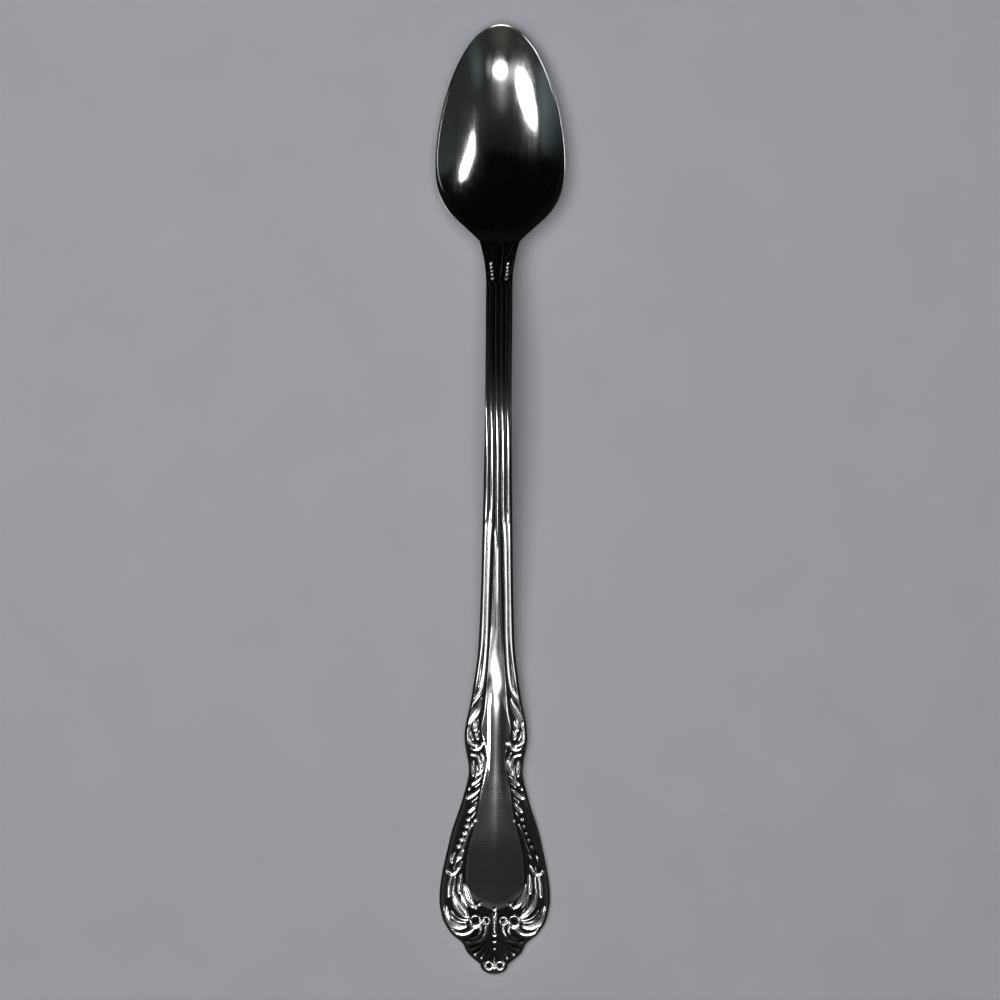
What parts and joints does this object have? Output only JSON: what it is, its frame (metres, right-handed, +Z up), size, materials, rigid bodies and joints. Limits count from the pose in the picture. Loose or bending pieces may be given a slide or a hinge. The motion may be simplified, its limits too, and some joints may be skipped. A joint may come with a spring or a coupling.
{
  "type": "long-handled baby spoon",
  "caption": "Long-handled infant feeding spoon in polished stainless steel, with a small egg-shaped bowl, a reeded arched stem and a scroll and leaf handle.",
  "frame": {"origin": "on the table under the middle of the spoon, halfway along its length and on its middle line", "axes": "+Y runs from the tip of the handle to the tip of the bowl, +Z is up out of the bowl, +X is to the right"},
  "size_m": [0.0276, 0.2032, 0.0164],
  "materials": {
    "mirror_steel": "mirror polish",
    "body_steel": "bright polish",
    "relief_steel": "bright polish with dark recesses"
  },
  "bodies": {
    "root": {"bowl": "mirror_steel", "neck": "body_steel", "stem": "body_steel", "handle_plate": "body_steel", "centre_panel": "mirror_steel", "centre_reed": "relief_steel", "inner_reeds": "relief_steel", "outer_reeds": "relief_steel", "neck_tongue": "relief_steel", "neck_beads": "relief_steel", "neck_leaves": "relief_steel", "shoulder_leaves": "relief_steel", "shoulder_lobes": "relief_steel", "shoulder_scrolls": "relief_steel", "waist_scrolls": "relief_steel", "waist_leaves": "relief_steel", "border_leaves": "relief_steel", "border_beads": "relief_steel", "border_ridges": "relief_steel", "border_rim": "relief_steel", "panel_corners": "relief_steel", "corner_beads": "relief_steel", "lower_leaves": "relief_steel", "wing_leaves": "relief_steel", "large_volutes": "relief_steel", "small_volutes": "relief_steel", "volute_tails": "relief_steel", "centre_stalk": "relief_steel", "stalk_beads": "relief_steel", "fan_ridges": "relief_steel", "tip_volutes": "relief_steel"}
  },
  "joints": []
}
